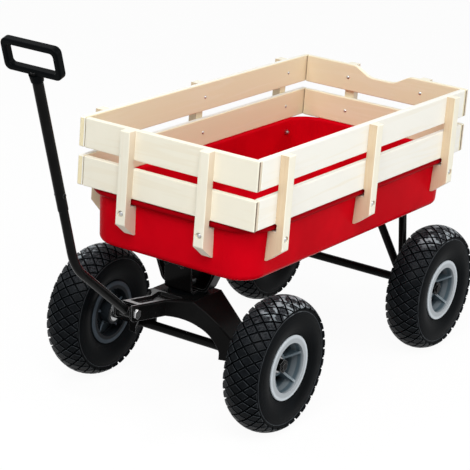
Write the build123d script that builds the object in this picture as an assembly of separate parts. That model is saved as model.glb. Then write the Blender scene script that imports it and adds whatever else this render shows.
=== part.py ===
from build123d import *
import math
import os

# Hand wagon: a pressed steel tray with bolted wooden rails on four pneumatic wheels.
# A pull handle tips up and down on the steering yoke, which turns the front axle.
# Axes: +X towards the handle, +Y to the wagon's left, +Z up, ground at Z = 0. Lengths are millimetres.
# Pieces are drawn with X = 0 at the tray's middle. At the end all are moved along X together, so that
# the origin lies on the ground under the middle of the whole wagon.

# Tray
tray_length = 771.0
tray_width = 375.0
tray_corner_radius = 60.0
tray_sheet = 1.5
tray_floor_height = 301.0
tray_depth = 113.0
tray_draft_angle = 2.5
tray_bottom_radius = 12.0
rim_roll_diameter = 14.0
rim_roll_angle = 285.0
floor_panel_length = 380.0
floor_panel_width = 240.0
floor_panel_radius = 30.0
floor_panel_rise = 4.0
floor_panel_angle = 40.0

# Rails
slat_width = 58.0
slat_gap = 17.0
slat_thickness = 12.0
slat_edge = 1.5
slat_overhang = 2.0
slat_corner_gap = 1.5
scoop_width = 132.0
scoop_floor_width = 60.0
scoop_depth = 20.0
scoop_floor_radius = 45.0
scoop_lip_radius = 25.0
stake_width = 22.0
stake_depth = 19.0
stake_drop = 1.0
stake_block_height = 59.0
stake_foot_width = 4.0
stake_foot_rise = 25.0
stake_edge = 1.2
stake_notch_relief = 3.0
end_stake_spacing = 178.0
side_stake_spacing = 317.0

# Wheels
tyre_diameter = 266.0
tyre_width = 80.0
tyre_wall = 7.0
tread_thickness = 9.0
tread_drop = 11.0
shoulder_inset = 6.5
bead_width = 8.0
rim_seat_diameter = 106.0
rim_flange_height = 11.0
rim_flange_thickness = 3.0
rim_flange_edge = 1.0
rim_width = 66.0
rim_barrel_thickness = 4.0
hub_wall = 4.5
hub_inner_reach = 38.0
hub_outer_reach = 8.0
rib_count = 5
rib_thickness = 5.0
rib_phase_angle = 158.0
rib_flange_setback = 3.0
rib_hub_setback = 2.0
rib_hub_depth = 26.0
rib_barrel_depth = 52.0
web_thickness = 4.0
web_offset = -14.0
web_window_margin = 5.0
bearing_diameter = 35.0
bearing_width = 11.0
bearing_race = 3.0
bearing_seal_depth = 0.8
valve_diameter = 7.0
valve_collar_diameter = 13.0
valve_offset = 10.0
valve_drop = 12.0
valve_reach = 13.0
valve_bend_radius = 6.0
track_overhang = 41.0
front_axle_setback = 87.5
rear_axle_setback = 79.5

# Axles
axle_diameter = 18.0
journal_diameter = 15.0
axle_tail = 3.0
axle_washer_thickness = 2.0

# Steering
yoke_sheet = 4.0
yoke_top_height = 229.0
yoke_top_width = 100.0
yoke_span = 236.0
yoke_leg_drop = 68.0
yoke_foot_depth = 16.0
yoke_foot_width = 20.0
yoke_arch_base = 2.0
yoke_flange_depth = 30.0
yoke_rear_reach = 44.0
yoke_front_reach = 20.0
yoke_flare_length = 80.0
yoke_flare_hollow = 15.0
yoke_bend_radius = 4.5
nose_ramp_start = 47.0
nose_width = 40.0
nose_rise = 24.0
nose_overhang = 13.0
nose_cutback = 9.0
nose_corner_radius = 12.0
nose_panel_depth = 6.0
nose_panel_angle = 35.0
nose_panel_start = 5.0
nose_panel_length = 122.0
nose_panel_width = 26.0
nose_panel_back_width = 60.0
nose_panel_back_length = 50.0
nose_panel_radius = 7.0
turntable_diameter = 76.0
turntable_thickness = 3.0
bolster_sheet = 4.0
bolster_width = 62.0
bolster_seat_length = 60.0
bolster_top_length = 74.0
bolster_flange_length = 28.0
bolster_bend_radius = 6.0
bolster_bolt_spacing = 36.0
stay_thickness = 5.0
stay_width = 28.0
stay_seat_span = 96.0
stay_top_span = 148.0
stay_flange_length = 32.0
stay_bend_radius = 12.0
king_pin_diameter = 16.0
king_pin_tail = 4.0

# Rear axle brackets
strut_diameter = 17.0
strut_top_spread = 126.0
strut_top_inset = 97.5
strut_eye_inset = 66.0
strut_eye_wall = 7.0
strut_eye_width = 18.0
strut_foot_width = 30.0
strut_foot_thickness = 4.0
strut_foot_margin = 13.0
strut_bolt_offset = 26.0
strut_bolt_shift = 14.0

# Handle
pivot_reach = 196.0
pivot_height = 235.0
pivot_bolt_diameter = 10.0
pivot_sleeve_wall = 5.0
lower_tube_diameter = 17.0
lower_tube_wall = 2.0
lower_run = 206.0
lower_angle = 37.3
upper_angle = 70.5
handle_bend_radius = 110.0
lower_tube_end = 185.0
upper_tube_start = 123.0
upper_tube_wall = 0.9
grip_start = 394.0
grip_width = 120.0
grip_height = 60.0
grip_bar = 11.0
grip_depth = 16.0
grip_corner_radius = 12.0
grip_window_radius = 6.0
grip_edge_radius = 3.5
grip_neck_length = 14.0
grip_neck_diameter = 27.0
grip_socket_depth = 20.0
grip_socket_wall = 1.6
rivet_diameter = 5.0

# Small fasteners
stake_bolt_diameter = 6.0
stake_bolt_drop = 12.0
screw_diameter = 4.0
screw_bite = 13.0
floor_bolt_diameter = 8.0
bolt_tail = 3.0
head_ratio = 1.8
head_height_ratio = 0.5
hex_ratio = 1.6
hex_head_ratio = 0.65
nut_ratio = 0.8
thin_nut_ratio = 0.65
washer_ratio = 2.0

# Clearances
slip = 0.1
running = 0.05
turning_gap = 0.4
wall_gap = 0.3
notch_gap = 0.75
flange_gap = 1.5

# Derived sizes and places
axle_height = tyre_diameter / 2
front_axle_x = tray_length / 2 - front_axle_setback
rear_axle_x = rear_axle_setback - tray_length / 2
wheel_y = (tray_width + track_overhang) / 2
tray_top_height = tray_floor_height + tray_depth
roll_height = tray_top_height - rim_roll_diameter / 2
floor_top_height = tray_floor_height + tray_sheet
draft_slope = math.tan(math.radians(tray_draft_angle))
rail_reach = rim_roll_diameter - tray_sheet + slat_overhang
rail_length = tray_length + 2 * rail_reach
rail_width = tray_width + 2 * rail_reach
slat_bases = {"lower": tray_top_height, "upper": tray_top_height + slat_width + slat_gap}
stake_top_height = slat_bases["upper"] + slat_width - stake_drop
notch_floor = tray_top_height - rim_roll_diameter - 2 * notch_gap
stake_foot_height = notch_floor - stake_block_height
stake_bolt_height = notch_floor - stake_bolt_drop
stake_bolt_recess = stake_bolt_diameter * head_height_ratio
rim_seat_radius = rim_seat_diameter / 2
rim_flange_radius = rim_seat_radius + rim_flange_height
rim_barrel_radius = rim_seat_radius - rim_barrel_thickness
hub_radius = bearing_diameter / 2 + hub_wall
pivot_x = front_axle_x + pivot_reach
nose_tip_x = pivot_x + nose_overhang
bolster_seat_height = yoke_top_height + turntable_thickness + turning_gap
upper_tube_bore = lower_tube_diameter + 2 * slip
upper_tube_diameter = upper_tube_bore + 2 * upper_tube_wall
upper_tube_end = grip_start - grip_neck_length + grip_socket_depth
rivet_place = (upper_tube_start + lower_tube_end) / 2
shoulder_y = wheel_y - hub_inner_reach - turning_gap - axle_washer_thickness
outer_washer_y = wheel_y + hub_outer_reach + turning_gap
axle_nut_y = outer_washer_y + axle_washer_thickness
axle_end_y = axle_nut_y + journal_diameter * thin_nut_ratio + axle_tail

# Each side of the rails: outward direction, distance to the slats' outer faces, ends of the slats and
# places of the stakes along the side. The front and rear slats run over the ends of the left slats and
# stop at the inner faces of the right ones.
slat_corner_step = slat_thickness + slat_corner_gap
end_reach = (slat_corner_step - rail_width / 2, rail_width / 2)
end_middle = slat_corner_step / 2
left_end = rail_length / 2 - slat_corner_step
right_end = rail_length / 2
end_places = {"right": end_middle - end_stake_spacing / 2, "left": end_middle + end_stake_spacing / 2}
side_places = {"front": side_stake_spacing, "middle": 0.0, "rear": -side_stake_spacing}
sides = {
    "front": (Vector(1, 0, 0), rail_length / 2, end_reach, end_places),
    "rear": (Vector(-1, 0, 0), rail_length / 2, end_reach, end_places),
    "left": (Vector(0, 1, 0), rail_width / 2, (-left_end, left_end), side_places),
    "right": (Vector(0, -1, 0), rail_width / 2, (-right_end, right_end), side_places),
}
corners = {
    "front_left": (front_axle_x, 1),
    "front_right": (front_axle_x, -1),
    "rear_left": (rear_axle_x, 1),
    "rear_right": (rear_axle_x, -1),
}

# Floor bolts: place in X and Y, and the thickness of what they hold under the floor.
bolster_bolt_x = (bolster_top_length + bolster_flange_length) / 2
stay_bolt_y = (stay_top_span + stay_flange_length) / 2
strut_ends = (-1, 1)
strut_bolt_x = [rear_axle_x + end * (strut_top_spread / 2 - strut_bolt_shift) for end in strut_ends]
strut_top_y = tray_width / 2 - strut_top_inset
strut_eye_y = wheel_y - strut_eye_inset
strut_bolt_y = strut_top_y - strut_bolt_offset
floor_bolt_places = [
    (front_axle_x + end * bolster_bolt_x, side * bolster_bolt_spacing / 2, bolster_sheet)
    for end in (-1, 1)
    for side in (-1, 1)
]
floor_bolt_places += [(front_axle_x, side * stay_bolt_y, stay_thickness) for side in (-1, 1)]
floor_bolt_places += [(x, side * strut_bolt_y, strut_foot_thickness) for x in strut_bolt_x for side in (-1, 1)]

up = Vector(0, 0, 1)
down = Vector(0, 0, -1)
leftward = Vector(0, 1, 0)


def polygon(*points):
    """A flat face with straight edges through the points."""
    return make_face(Polyline(*points, close=True))


def bar(start, direction, length, diameter):
    """A round bar of the given length from a start point along a direction."""
    return Solid.make_cylinder(diameter / 2, length, Plane(origin=start, z_dir=direction))


def cross_bar(place, length, diameter):
    """A round bar across the wagon, centred on the place."""
    return bar(Vector(place) - leftward * length / 2, leftward, length, diameter)


def ring(seat, direction, diameter, thickness, bore):
    """A flat ring that sits on the seat and grows along the direction."""
    outline = Circle(diameter / 2) - Circle(bore / 2)
    return extrude(Plane(origin=seat, z_dir=direction) * outline, thickness)


def hex_block(seat, direction, diameter, height):
    """A hexagon head or nut for a bolt of the given diameter, without a bore."""
    outline = RegularPolygon(diameter * hex_ratio / 2, 6, major_radius=False)
    return extrude(Plane(origin=seat, z_dir=direction) * outline, height)


def hex_nut(seat, direction, diameter, ratio=nut_ratio):
    """A hexagon nut that sits on the seat and grows along the direction."""
    height = diameter * ratio
    return hex_block(seat, direction, diameter, height) - bar(seat, direction, height, diameter + slip)


def hex_bolt(seat, direction, diameter, length):
    """A hexagon-headed bolt: the head stands out from the seat, the shank runs back from it."""
    head = hex_block(seat, direction, diameter, diameter * hex_head_ratio)
    return head + bar(seat, direction * -1, length, diameter)


def dome(seat, direction, diameter):
    """A low round head for a shank of the given diameter."""
    radius = diameter * head_ratio / 2
    height = diameter * head_height_ratio
    cap = TangentArc((0, height), (radius, 0), tangent=(1, 0))
    profile = make_face([cap, Polyline((radius, 0), (0, 0), (0, height))])
    return Plane(origin=seat, z_dir=direction) * revolve(Plane.XZ * profile, Axis.Z)


def domed_bolt(seat, direction, diameter, length):
    """A round-headed bolt: the head stands out from the seat, the shank runs back from it."""
    return dome(seat, direction, diameter) + bar(seat, direction * -1, length, diameter)


def group(pieces):
    """Like pieces kept as separate solids of one node."""
    return Compound([solid for piece in pieces for solid in piece.solids()])


# Tray


def wall_reach(height, reach):
    """Distance of the wall's outer face from the middle, for a wall that stands at reach at the roll."""
    return reach - draft_slope * (roll_height - height)


def tray_plan(inset, height):
    """The rounded outline of the tray at a height, moved inward by the inset."""
    outline = RectangleRounded(
        tray_length - 2 * inset, tray_width - 2 * inset, tray_corner_radius - inset
    )
    return Pos(0, 0, height) * outline


def tray_section():
    """Section of the wall: floor edge, bottom bend, drafted wall and rolled rim, as one bent sheet."""
    roll_radius = rim_roll_diameter / 2
    top_x = tray_length / 2 - tray_sheet
    foot_x = wall_reach(floor_top_height, tray_length / 2) - tray_sheet
    inside = FilletPolyline(
        (foot_x - 2 * tray_bottom_radius, floor_top_height),
        (foot_x, floor_top_height),
        (top_x, roll_height),
        radius=tray_bottom_radius,
    )
    roll = CenterArc((top_x + roll_radius, roll_height), roll_radius, 180, -rim_roll_angle)
    sheet = offset(Wire(inside.edges() + [roll]), amount=tray_sheet, side=Side.RIGHT, closed=True)
    return Plane.XZ * make_face(sheet)


def tray():
    """Pressed pan: one wall section swept round the plan, closed by a floor with a raised panel."""
    half_length = tray_length / 2
    half_width = tray_width / 2
    left_half = FilletPolyline(
        (half_length, 0),
        (half_length, half_width),
        (-half_length, half_width),
        (-half_length, 0),
        radius=tray_corner_radius,
    )
    path = Wire(left_half.edges() + mirror(left_half, about=Plane.XZ).edges())
    wall = sweep(tray_section(), path=Pos(0, 0, roll_height) * path)
    wall_run = half_length - wall_reach(floor_top_height, half_length) + tray_sheet
    floor = extrude(tray_plan(wall_run + 1.8 * tray_bottom_radius, tray_floor_height), tray_sheet)
    panel = RectangleRounded(floor_panel_length, floor_panel_width, floor_panel_radius)
    panel_top = floor_top_height + floor_panel_rise
    raised = extrude(Pos(0, 0, panel_top) * panel, floor_panel_rise, dir=down, taper=-floor_panel_angle)
    hollow = Pos(0, 0, -tray_sheet) * raised
    pan = wall + floor + raised - hollow
    for x, y, _ in floor_bolt_places:
        pan -= bar((x, y, tray_floor_height), up, tray_sheet, floor_bolt_diameter + 2 * slip)
    for outward, distance, _, places in sides.values():
        for along in places.values():
            hole = bar((0, 0, 0), outward * -1, 2 * rail_reach, stake_bolt_diameter + 2 * slip)
            pan -= Pos(side_point(outward, distance, along, stake_bolt_height)) * hole
    return pan


# Rails


def side_point(outward, distance, along, height):
    """A point on a rail side: distance outward, along the side in X or Y, at a height."""
    return outward * distance + Vector(abs(outward.Y), abs(outward.X), 0) * along + up * height


def screw_heights():
    """Heights of the slats' middles, where the screws sit."""
    return [base + slat_width / 2 for base in slat_bases.values()]


def slat_outline(start, end, scooped):
    """Outline of a board between its ends, with or without the hand hold in its upper edge."""
    if not scooped:
        return Pos((start + end) / 2, slat_width / 2) * Rectangle(end - start, slat_width)
    top_edge = FilletPolyline(
        (start, slat_width),
        (-scoop_width / 2, slat_width),
        (-scoop_floor_width / 2, slat_width - scoop_depth),
        (scoop_floor_width / 2, slat_width - scoop_depth),
        (scoop_width / 2, slat_width),
        (end, slat_width),
        radius=[scoop_lip_radius, scoop_floor_radius, scoop_floor_radius, scoop_lip_radius],
    )
    rest = Polyline((end, slat_width), (end, 0), (start, 0), (start, slat_width))
    return make_face(top_edge.edges() + rest.edges())


def slat(side, level):
    """One board with eased edges and a screw hole at each stake."""
    outward, distance, (start, end), places = sides[side]
    length_axis = Vector(abs(outward.Y), abs(outward.X), 0)
    face = Plane(
        origin=side_point(outward, distance, 0, slat_bases[level]),
        x_dir=length_axis,
        z_dir=length_axis.cross(up),
    )
    outline = slat_outline(start, end, side == "rear" and level == "upper")
    board = extrude(face * outline, slat_thickness, dir=outward * -1)
    board = chamfer(board.edges(), slat_edge)
    for along in places.values():
        middle = side_point(outward, distance, along, slat_bases[level] + slat_width / 2)
        board -= bar(middle, outward * -1, slat_thickness, screw_diameter + 2 * slip)
    return board


def stake(side, place):
    """One post: outside the slats above, hooked under the rolled rim and bolted to the wall below."""
    outward, distance, _, places = sides[side]
    along = places[place]
    plane = Plane(
        origin=side_point(outward, distance, along, 0), x_dir=outward, z_dir=outward.cross(up)
    )
    wall_top = wall_reach(notch_floor, -rail_reach) + wall_gap
    wall_foot = wall_reach(stake_foot_height, -rail_reach) + wall_gap
    profile = polygon(
        (wall_foot, stake_foot_height),
        (wall_foot + stake_foot_width, stake_foot_height),
        (stake_depth, stake_foot_height + stake_foot_rise),
        (stake_depth, stake_top_height),
        (0, stake_top_height),
        (0, tray_top_height),
        (stake_notch_relief, tray_top_height),
        (stake_notch_relief, notch_floor),
        (wall_top, notch_floor),
    )
    post = extrude(plane * profile, stake_width / 2, both=True)
    outer_face = post.faces().sort_by(Axis((0, 0, 0), outward))[-1]
    post = chamfer(outer_face.edges(), stake_edge)
    bolt_seat = side_point(outward, distance + stake_depth, along, stake_bolt_height)
    head_room = stake_bolt_diameter * head_ratio + 2
    post -= bar(bolt_seat, outward * -1, 3 * stake_depth, stake_bolt_diameter + 2 * slip)
    post -= bar(bolt_seat, outward * -1, stake_bolt_recess, head_room)
    for height in screw_heights():
        pilot = side_point(outward, distance, along, height)
        post -= bar(pilot, outward, screw_bite, screw_diameter + 2 * slip)
    return post


def stake_bolts():
    """One round-headed bolt through each stake and the tray's wall."""
    wall_x = wall_reach(stake_bolt_height, -rail_reach) - tray_sheet
    length = stake_depth - stake_bolt_recess - wall_x + stake_bolt_diameter * nut_ratio + bolt_tail
    bolts = []
    for outward, distance, _, places in sides.values():
        for along in places.values():
            seat = side_point(outward, distance + stake_depth - stake_bolt_recess, along, stake_bolt_height)
            bolts.append(domed_bolt(seat, outward, stake_bolt_diameter, length))
    return group(bolts)


def stake_nuts():
    """One nut on each stake bolt, inside the tray, just clear of the wall's slope."""
    tilt = stake_bolt_diameter * hex_ratio * draft_slope
    wall_x = wall_reach(stake_bolt_height, -rail_reach) - tray_sheet - tilt
    nuts = []
    for outward, distance, _, places in sides.values():
        for along in places.values():
            seat = side_point(outward, distance + wall_x, along, stake_bolt_height)
            nuts.append(hex_nut(seat, outward * -1, stake_bolt_diameter))
    return group(nuts)


def slat_screws():
    """One screw at each crossing, driven from the inside through the slat into the stake."""
    screws = []
    for outward, distance, _, places in sides.values():
        for along in places.values():
            for height in screw_heights():
                seat = side_point(outward, distance - slat_thickness, along, height)
                length = slat_thickness + screw_bite - bolt_tail
                screws.append(domed_bolt(seat, outward * -1, screw_diameter, length))
    return group(screws)


# Wheels, drawn with the axle along Y at the origin and the outer side towards +Y


def tyre():
    """Hollow tyre: bead, side wall and tread in one revolved section, open towards the rim."""
    seat = rim_seat_radius + slip
    heel = rim_width / 2 - rim_flange_thickness - slip
    lip = rim_flange_radius + flange_gap
    shoulder = tyre_diameter / 2 - tread_drop
    belly = (lip + shoulder) / 2
    half = tyre_width / 2
    crown = tyre_diameter / 2
    outside = [
        TangentArc((crown, 0), (shoulder, half - shoulder_inset), tangent=(0, 1)),
        ThreePointArc((shoulder, half - shoulder_inset), (belly, half), (lip, heel)),
        Line((lip, heel), (seat, heel)),
    ]
    toe = heel - bead_width
    inner_shoulder = (shoulder - tyre_wall, half - shoulder_inset - tyre_wall)
    inside = [
        Line((seat, heel), (seat, toe)),
        Line((seat, toe), (lip, toe)),
        ThreePointArc((lip, toe), (belly, half - tyre_wall), inner_shoulder),
        TangentArc((crown - tread_thickness, 0), inner_shoulder, tangent=(0, 1)),
        Line((crown - tread_thickness, 0), (crown, 0)),
    ]
    half_section = make_face(outside + inside)
    section = half_section + mirror(half_section, about=Plane.XZ)
    return revolve(section, Axis.Y)


def rim():
    """Dished wheel: barrel with two flanges, hub with bearing pockets, web with windows and ribs."""
    edge = rim_width / 2
    face = edge - rim_flange_thickness
    barrel = polygon(
        (rim_barrel_radius, -edge),
        (rim_flange_radius - rim_flange_edge, -edge),
        (rim_flange_radius, -edge + rim_flange_edge),
        (rim_flange_radius, -face),
        (rim_seat_radius, -face),
        (rim_seat_radius, face),
        (rim_flange_radius, face),
        (rim_flange_radius, edge - rim_flange_edge),
        (rim_flange_radius - rim_flange_edge, edge),
        (rim_barrel_radius, edge),
    )
    pocket = bearing_diameter / 2 + running
    bore = journal_diameter / 2 + bearing_race
    hub = polygon(
        (pocket, -hub_inner_reach),
        (hub_radius, -hub_inner_reach),
        (hub_radius, hub_outer_reach),
        (pocket, hub_outer_reach),
        (pocket, hub_outer_reach - bearing_width),
        (bore, hub_outer_reach - bearing_width),
        (bore, bearing_width - hub_inner_reach),
        (pocket, bearing_width - hub_inner_reach),
    )
    hub_joint = hub_radius - hub_wall / 2
    barrel_joint = rim_barrel_radius + rim_barrel_thickness / 2
    web = polygon(
        (hub_joint, web_offset - web_thickness / 2),
        (barrel_joint, web_offset - web_thickness / 2),
        (barrel_joint, web_offset + web_thickness / 2),
        (hub_joint, web_offset + web_thickness / 2),
    )
    rib_top_hub = hub_outer_reach - rib_hub_setback
    rib_top_barrel = edge - rib_flange_setback
    rib = polygon(
        (hub_joint, rib_top_hub - rib_hub_depth),
        (barrel_joint, rib_top_barrel - rib_barrel_depth),
        (barrel_joint, rib_top_barrel),
        (hub_joint, rib_top_hub),
    )
    rib_plate = extrude(rib, rib_thickness / 2, both=True)
    disc = revolve(web, Axis.Y)
    window = web_window()
    wheel = revolve(barrel, Axis.Y) + revolve(hub, Axis.Y)
    for number in range(rib_count):
        turn = rib_phase_angle + 360 / rib_count * number
        disc -= Rot(0, -turn - 180 / rib_count, 0) * window
        wheel += Rot(0, -turn, 0) * rib_plate
    wheel += disc
    return wheel - valve_hole()


def web_window():
    """Cutter for one window of the web, between two ribs."""
    inner = hub_radius + web_window_margin
    outer = rim_barrel_radius - web_window_margin
    middle = (inner + outer) / 2
    half_angle = 180 / rib_count - math.degrees((rib_thickness / 2 + web_window_margin) / middle)
    sector = make_face([
        CenterArc((0, 0), outer, -half_angle, 2 * half_angle),
        CenterArc((0, 0), inner, -half_angle, 2 * half_angle),
        PolarLine((inner * math.cos(math.radians(half_angle)), inner * math.sin(math.radians(half_angle))),
                  outer - inner, half_angle),
        PolarLine((inner * math.cos(math.radians(half_angle)), -inner * math.sin(math.radians(half_angle))),
                  outer - inner, -half_angle),
    ])
    return Pos(0, web_offset, 0) * extrude(Plane.XZ * sector, web_thickness, both=True)


def valve_turn():
    """Turn that puts the valve between two ribs, on the side of the dish that faces forward and up."""
    return rib_phase_angle + 360 / rib_count * (rib_count - 1.5)


def valve_hole():
    """Cutter for the valve's hole in the rim's barrel."""
    hole = bar((rim_barrel_radius - rim_barrel_thickness / 2, valve_offset, 0), (1, 0, 0), 2 * rim_barrel_thickness,
               valve_diameter + 2 * slip)
    return Rot(0, -valve_turn(), 0) * hole


def valve():
    """Bent valve stem with a collar inside the barrel."""
    collar_seat = rim_seat_radius + slip
    elbow = rim_barrel_radius - valve_drop
    path = FilletPolyline(
        (collar_seat + rim_barrel_thickness, valve_offset),
        (elbow, valve_offset),
        (elbow, valve_offset + valve_reach),
        radius=valve_bend_radius,
    )
    start = Plane(origin=path @ 0, z_dir=path % 0)
    stem = sweep(start * Circle(valve_diameter / 2), path=path)
    collar = bar((collar_seat, valve_offset, 0), (1, 0, 0), rim_barrel_thickness, valve_collar_diameter)
    return Rot(0, -valve_turn(), 0) * (stem + collar)


def bearings():
    """Two ball bearings as rings with sunk seals, one in each pocket of the hub."""
    inner = journal_diameter / 2 + running
    outer = bearing_diameter / 2
    half = bearing_width / 2
    seal = half - bearing_seal_depth
    section = polygon(
        (inner, -half), (inner + bearing_race, -half), (inner + bearing_race, -seal),
        (outer - bearing_race, -seal), (outer - bearing_race, -half), (outer, -half),
        (outer, half), (outer - bearing_race, half), (outer - bearing_race, seal),
        (inner + bearing_race, seal), (inner + bearing_race, half), (inner, half),
    )
    race = revolve(section, Axis.Y)
    return group([
        Pos(0, hub_outer_reach - half, 0) * race,
        Pos(0, half - hub_inner_reach, 0) * race,
    ])


def at_corner(piece, corner):
    """A wheel piece moved to its corner of the wagon, mirrored on the right side."""
    x, side = corners[corner]
    turned = piece if side > 0 else mirror(piece, about=Plane.XZ)
    return Pos(x, side * wheel_y, axle_height) * turned


# Axles


def axle(x):
    """Round bar with a turned-down journal at each end."""
    middle = cross_bar((x, 0, axle_height), 2 * shoulder_y, axle_diameter)
    return middle + cross_bar((x, 0, axle_height), 2 * axle_end_y, journal_diameter)


def axle_washers(x):
    """A washer on each side of each hub."""
    bore = journal_diameter + 2 * slip
    diameter = journal_diameter * washer_ratio
    return group([
        ring((x, side * seat, axle_height), leftward * side, diameter, axle_washer_thickness, bore)
        for side in (-1, 1)
        for seat in (shoulder_y, outer_washer_y)
    ])


def axle_nuts(x):
    """A nut on each end of the axle."""
    return group([
        hex_nut((x, side * axle_nut_y, axle_height), leftward * side, journal_diameter, thin_nut_ratio)
        for side in (-1, 1)
    ])


# Steering


def yoke_plan(nose_end):
    """Plan of the wishbone: straight back, two ends, hollow flares and a parallel nose."""
    half_nose = nose_width / 2
    half_span = yoke_span / 2
    rear = front_axle_x - yoke_rear_reach
    flare_start = front_axle_x + yoke_front_reach
    flare_end = flare_start + yoke_flare_length
    chord = Vector(yoke_flare_length, half_nose - half_span)
    inward = Vector(chord.Y, -chord.X).normalized()
    middle = Vector(flare_start + flare_end, half_span + half_nose) / 2 + inward * yoke_flare_hollow
    half = make_face([
        Polyline((nose_end, half_nose), (nose_end, 0), (rear, 0), (rear, half_span), (flare_start, half_span)),
        ThreePointArc((flare_start, half_span), middle, (flare_end, half_nose)),
        Line((flare_end, half_nose), (nose_end, half_nose)),
    ])
    return half + mirror(half, about=Plane.XZ)


def along_yoke(profile):
    """A cross section carried level from the back to the ramp, then up the ramp to the nose."""
    back = front_axle_x - yoke_rear_reach
    ramp = front_axle_x + nose_ramp_start
    climb = Vector(nose_tip_x - ramp, 0, nose_rise)
    level_part = extrude(Plane.YZ.offset(back) * profile, ramp - back)
    ramp_part = extrude(Plane.YZ.offset(ramp) * profile, 2 * climb.length, dir=climb)
    return level_part + ramp_part


def yoke_hump(inset, foot):
    """Cross section of the pressed hump, moved inward by the inset and closed at a foot height."""
    slope = math.atan2(yoke_leg_drop, (yoke_span - yoke_top_width) / 2)
    top = yoke_top_height - inset
    top_half = yoke_top_width / 2 - inset * math.tan(slope / 2)
    end_half = yoke_span / 2 - inset
    end_top = top - (end_half - top_half) * math.tan(slope)
    return polygon(
        (-end_half, foot), (end_half, foot), (end_half, end_top),
        (top_half, top), (-top_half, top), (-end_half, end_top),
    )


def yoke_arch(foot):
    """Cross section of the opening under the hump, between the two feet."""
    half = yoke_span / 2 - yoke_foot_width
    base = axle_height - yoke_arch_base
    arc = ThreePointArc((-half, base), (0, yoke_top_height - yoke_flange_depth), (half, base))
    return make_face([arc, Polyline((half, base), (half, foot), (-half, foot), (-half, base))])


def top_border(block):
    """Edges where the upward faces of a block meet its upright ones."""
    edges = [edge for face in block.faces() if face.normal_at().Z > 0.2 for edge in face.edges()]
    return [edge for edge in edges if sum(edge.is_same(other) for other in edges) == 1]


def nose_panel():
    """Sunk panel in the nose's top plate: the pocket to cut, and the pressed sheet around and under it."""
    ramp = Vector(front_axle_x + nose_ramp_start, 0, yoke_top_height)
    climb = Vector(nose_tip_x, 0, yoke_top_height + nose_rise) - ramp
    top_plate = Plane(origin=ramp, x_dir=climb, z_dir=climb.cross(leftward))
    front = nose_panel_start + nose_panel_length
    waist = nose_panel_start + nose_panel_back_length
    half = nose_panel_width / 2
    half_back = nose_panel_back_width / 2
    outline = polygon(
        (nose_panel_start, -half_back), (waist, -half), (front, -half),
        (front, half), (waist, half), (nose_panel_start, half_back),
    )
    outline = fillet(outline.vertices(), nose_panel_radius)
    inward = top_plate.z_dir * -1
    pocket = extrude(top_plate * outline, nose_panel_depth, dir=inward, taper=nose_panel_angle)
    sheet = extrude(top_plate * outline, nose_panel_depth + yoke_sheet, dir=inward)
    return pocket, sheet


def steering_yoke():
    """Pressed wishbone: flared hump over the axle, side flanges all round and a rising nose."""
    foot = axle_height - yoke_foot_depth
    below = foot - yoke_foot_depth
    tall = 2 * yoke_top_height
    block = along_yoke(yoke_hump(0, foot)) & extrude(yoke_plan(nose_tip_x), tall)
    shell = fillet(top_border(block), yoke_bend_radius)
    room = along_yoke(yoke_hump(yoke_sheet, below))
    inner_plan = offset(yoke_plan(nose_tip_x + nose_overhang), amount=-yoke_sheet, kind=Kind.INTERSECTION)
    shell -= room & extrude(inner_plan, tall)
    shell -= along_yoke(yoke_arch(below))
    pocket, sheet = nose_panel()
    shell = shell + sheet - pocket
    slot_width = nose_width - 2 * yoke_sheet
    slot_length = nose_cutback + nose_overhang
    slot_x = pivot_x + (nose_overhang - nose_cutback) / 2
    shell -= Pos(slot_x, 0, pivot_height) * Box(slot_length, slot_width, 2 * nose_width)
    shell -= bar((front_axle_x, 0, 0), up, tall, king_pin_diameter + 2 * running)
    shell -= cross_bar((front_axle_x, 0, axle_height), 2 * yoke_span, axle_diameter + 2 * slip)
    shell -= cross_bar((pivot_x, 0, pivot_height), 2 * nose_width, pivot_bolt_diameter + 2 * slip)
    tip_edges = shell.edges().filter_by_position(Axis.X, nose_tip_x - slip, nose_tip_x + slip)
    return fillet(tip_edges.sort_by(Axis.Z)[:2], nose_corner_radius)


def turntable_ring():
    """Plain bearing ring that lies on the yoke and turns with it."""
    seat = (front_axle_x, 0, yoke_top_height)
    return ring(seat, up, turntable_diameter, turntable_thickness, king_pin_diameter + 2 * running)


def hat_strip(seat, top, flange, seat_height, sheet, bend):
    """Bent sheet in profile: two flanges under the floor, two legs and a seat with its lower face given."""
    half_seat = seat / 2
    half_top = top / 2
    line = FilletPolyline(
        (-half_top - flange, tray_floor_height),
        (-half_top, tray_floor_height),
        (-half_seat, seat_height + sheet),
        (half_seat, seat_height + sheet),
        (half_top, tray_floor_height),
        (half_top + flange, tray_floor_height),
        radius=bend,
    )
    return make_face(offset(line, amount=sheet, side=Side.RIGHT, closed=True))


def bolster():
    """Pedestal of two crossed hat sections welded together: a wide seat and a narrow side stay in it."""
    seat = hat_strip(bolster_seat_length, bolster_top_length, bolster_flange_length, bolster_seat_height,
                     bolster_sheet, bolster_bend_radius)
    stay = hat_strip(stay_seat_span, stay_top_span, stay_flange_length, bolster_seat_height + bolster_sheet,
                     stay_thickness, stay_bend_radius)
    middle = Pos(front_axle_x, 0, 0)
    piece = middle * extrude(Plane.XZ * seat, bolster_width / 2, both=True)
    piece += middle * extrude(Plane.YZ * stay, stay_width / 2, both=True)
    piece -= bar((front_axle_x, 0, 0), up, tray_floor_height, king_pin_diameter + 2 * slip)
    for x, y, thickness in floor_bolt_places:
        piece -= bar((x, y, tray_floor_height), down, thickness, floor_bolt_diameter + 2 * slip)
    return piece


def king_pin():
    """Vertical steering bolt with its head on the bolster's seat."""
    seat_height = bolster_seat_height + bolster_sheet + stay_thickness
    nut_seat = yoke_top_height - yoke_sheet - turning_gap
    length = seat_height - nut_seat + king_pin_diameter * nut_ratio + king_pin_tail
    return hex_bolt((front_axle_x, 0, seat_height), up, king_pin_diameter, length)


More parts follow.
